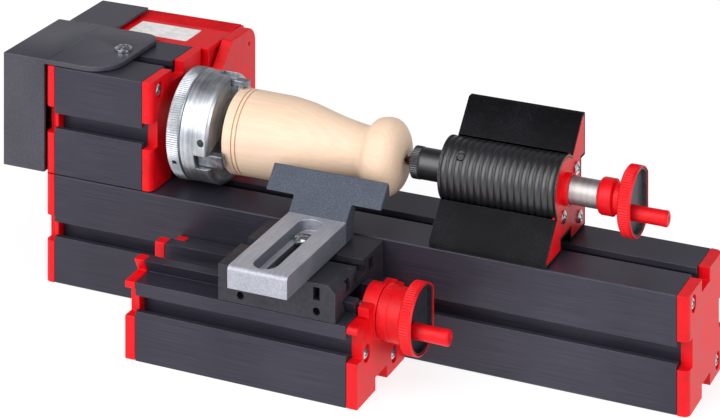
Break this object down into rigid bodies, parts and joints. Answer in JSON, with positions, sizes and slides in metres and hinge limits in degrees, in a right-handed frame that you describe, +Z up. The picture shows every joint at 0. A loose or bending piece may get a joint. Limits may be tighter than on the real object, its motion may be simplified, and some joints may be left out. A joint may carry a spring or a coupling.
{
  "type": "lathe",
  "caption": "Small bench wood lathe built from slotted aluminium profiles: three-jaw chuck with a turned handle, tool rest on a cross slide, tailstock with a live handwheel and a red motor unit",
  "frame": {"origin": "centre of the footprint's bounding box, on the table under the bed", "axes": "+X along the bed from the headstock to the tailstock, +Y from the tool rest to the motor, +Z up"},
  "size_m": [0.3332, 0.1592, 0.1056],
  "materials": {
    "anodised_profile": "black anodised extrusion with fine lengthwise lines",
    "red_plastic": "moulded, satin gloss",
    "guard_enamel": "dark grey enamel, satin",
    "black_casting": "black, glossy on the turned ribs",
    "grey_plastic": "dark grey, matt",
    "zinc_casting": "light grey zinc casting, turned faces",
    "aluminium_casting": "cast and milled, fine grain",
    "bright_steel": "bright plated",
    "turned_steel": "turned and ground",
    "belt_rubber": "matt, slight ribs",
    "pale_wood": "sanded, unvarnished"
  },
  "bodies": {
    "base": {"bed_profile": "anodised_profile", "bed_cap_left": "red_plastic", "bed_cap_right": "red_plastic", "bed_cap_screw_upper": "bright_steel", "bed_cap_screw_lower": "bright_steel", "headstock_profile": "anodised_profile", "headstock_cap_left": "red_plastic", "headstock_cap_right": "red_plastic", "headstock_cap_screw_upper": "bright_steel", "headstock_cap_screw_lower": "bright_steel", "spindle_bearing_front": "turned_steel", "spindle_bearing_rear": "turned_steel", "headstock_key": "turned_steel", "drive_belt": "belt_rubber", "belt_guard": "guard_enamel", "rear_belt_guard": "guard_enamel", "guard_screw": "bright_steel", "guard_nut": "turned_steel", "motor_housing": "red_plastic", "motor_end_cap": "red_plastic", "motor_can": "turned_steel"},
    "spindle": {"spindle_shaft": "turned_steel", "spindle_pulley": "grey_plastic", "chuck_body": "zinc_casting", "workpiece": "pale_wood"},
    "rotor": {"motor_rotor": "turned_steel", "motor_pulley": "grey_plastic"},
    "scroll_ring": {"chuck_scroll_ring": "zinc_casting"},
    "jaw_1": {"chuck_jaw_1": "bright_steel"},
    "jaw_2": {"chuck_jaw_2": "bright_steel"},
    "jaw_3": {"chuck_jaw_3": "bright_steel"},
    "tailstock": {"tailstock_body": "black_casting", "tailstock_end_plate": "red_plastic", "end_plate_screw_1": "bright_steel", "end_plate_screw_2": "bright_steel", "end_plate_screw_3": "bright_steel", "tailstock_grub_screw": "turned_steel", "tailstock_key": "turned_steel"},
    "quill": {"tail_spindle": "turned_steel", "center_sleeve": "black_casting", "center_tip": "turned_steel"},
    "tail_wheel": {"tail_handwheel": "red_plastic", "tail_wheel_disc": "grey_plastic", "tail_crank_peg": "red_plastic"},
    "slide": {"slide_profile": "anodised_profile", "slide_cap_left": "red_plastic", "slide_cap_right": "red_plastic", "slide_cap_screw_1": "bright_steel", "slide_cap_screw_2": "bright_steel", "slide_key": "turned_steel"},
    "slide_wheel": {"leadscrew": "turned_steel", "slide_scale_ring": "red_plastic", "slide_handwheel": "red_plastic", "slide_wheel_disc": "grey_plastic", "slide_crank_peg": "red_plastic"},
    "carriage_unit": {"carriage": "grey_plastic", "leadscrew_nut": "grey_plastic"},
    "rest_clamp": {"rest_clamp_nut": "turned_steel"},
    "rest_swivel": {"rest_clamp_screw": "bright_steel"},
    "tool_rest_body": {"tool_rest": "aluminium_casting"}
  },
  "joints": [
    {"name": "spindle_spin", "type": "hinge", "parent": "base", "child": "spindle", "pos_m": [-0.13865, 0.01615, 0.0753], "axis": [1, 0, 0], "continuous": true},
    {"name": "motor_spin", "type": "hinge", "parent": "base", "child": "rotor", "pos_m": [-0.13865, 0.06015, 0.0753], "axis": [1, 0, 0], "continuous": true},
    {"name": "chuck_ring_turn", "type": "hinge", "parent": "spindle", "child": "scroll_ring", "pos_m": [-0.07725, 0.01615, 0.0753], "axis": [1, 0, 0], "range_deg": [0, 360]},
    {"name": "jaw_1_open", "type": "slide", "parent": "spindle", "child": "jaw_1", "axis": [0, -0.9397, -0.342], "range_m": [0, 0.002]},
    {"name": "jaw_2_open", "type": "slide", "parent": "spindle", "child": "jaw_2", "axis": [0, 0.766, -0.6428], "range_m": [0, 0.002]},
    {"name": "jaw_3_open", "type": "slide", "parent": "spindle", "child": "jaw_3", "axis": [0, 0.1736, 0.9848], "range_m": [0, 0.002]},
    {"name": "tailstock_slide", "type": "slide", "parent": "base", "child": "tailstock", "axis": [1, 0, 0], "range_m": [0, 0.05]},
    {"name": "tail_wheel_turn", "type": "hinge", "parent": "quill", "child": "tail_wheel", "pos_m": [0.13405, 0.01615, 0.0753], "axis": [1, 0, 0], "range_deg": [0, 4320]},
    {"name": "quill_retract", "type": "slide", "parent": "tailstock", "child": "quill", "axis": [1, 0, 0], "range_m": [0, 0.012]},
    {"name": "slide_unit_slide", "type": "slide", "parent": "base", "child": "slide", "axis": [1, 0, 0], "range_m": [0, 0.11]},
    {"name": "slide_wheel_turn", "type": "hinge", "parent": "slide", "child": "slide_wheel", "pos_m": [0.05485, -0.03465, 0.0312], "axis": [1, 0, 0], "range_deg": [-1440, 7200]},
    {"name": "carriage_travel", "type": "slide", "parent": "slide", "child": "carriage_unit", "axis": [-1, 0, 0], "range_m": [-0.004, 0.02]},
    {"name": "rest_clamp_slide", "type": "slide", "parent": "carriage_unit", "child": "rest_clamp", "axis": [1, 0, 0], "range_m": [-0.006, 0.006]},
    {"name": "tool_rest_swivel", "type": "hinge", "parent": "rest_clamp", "child": "rest_swivel", "pos_m": [0.00185, -0.03465, 0.05], "axis": [0, 0, 1], "range_deg": [-4, 8]},
    {"name": "tool_rest_reach", "type": "slide", "parent": "rest_swivel", "child": "tool_rest_body", "axis": [0, -1, 0], "range_m": [0, 0.006]}
  ],
  "couplings": [
    {"joint": "motor_spin", "follows": "spindle_spin", "ratio": 2.5},
    {"joint": "jaw_1_open", "follows": "chuck_ring_turn", "m_per_rad": 0.00031831},
    {"joint": "jaw_2_open", "follows": "chuck_ring_turn", "m_per_rad": 0.00031831},
    {"joint": "jaw_3_open", "follows": "chuck_ring_turn", "m_per_rad": 0.00031831},
    {"joint": "tail_wheel_turn", "follows": "quill_retract", "rad_per_m": 6283.2},
    {"joint": "slide_wheel_turn", "follows": "carriage_travel", "rad_per_m": 6283.2}
  ]
}
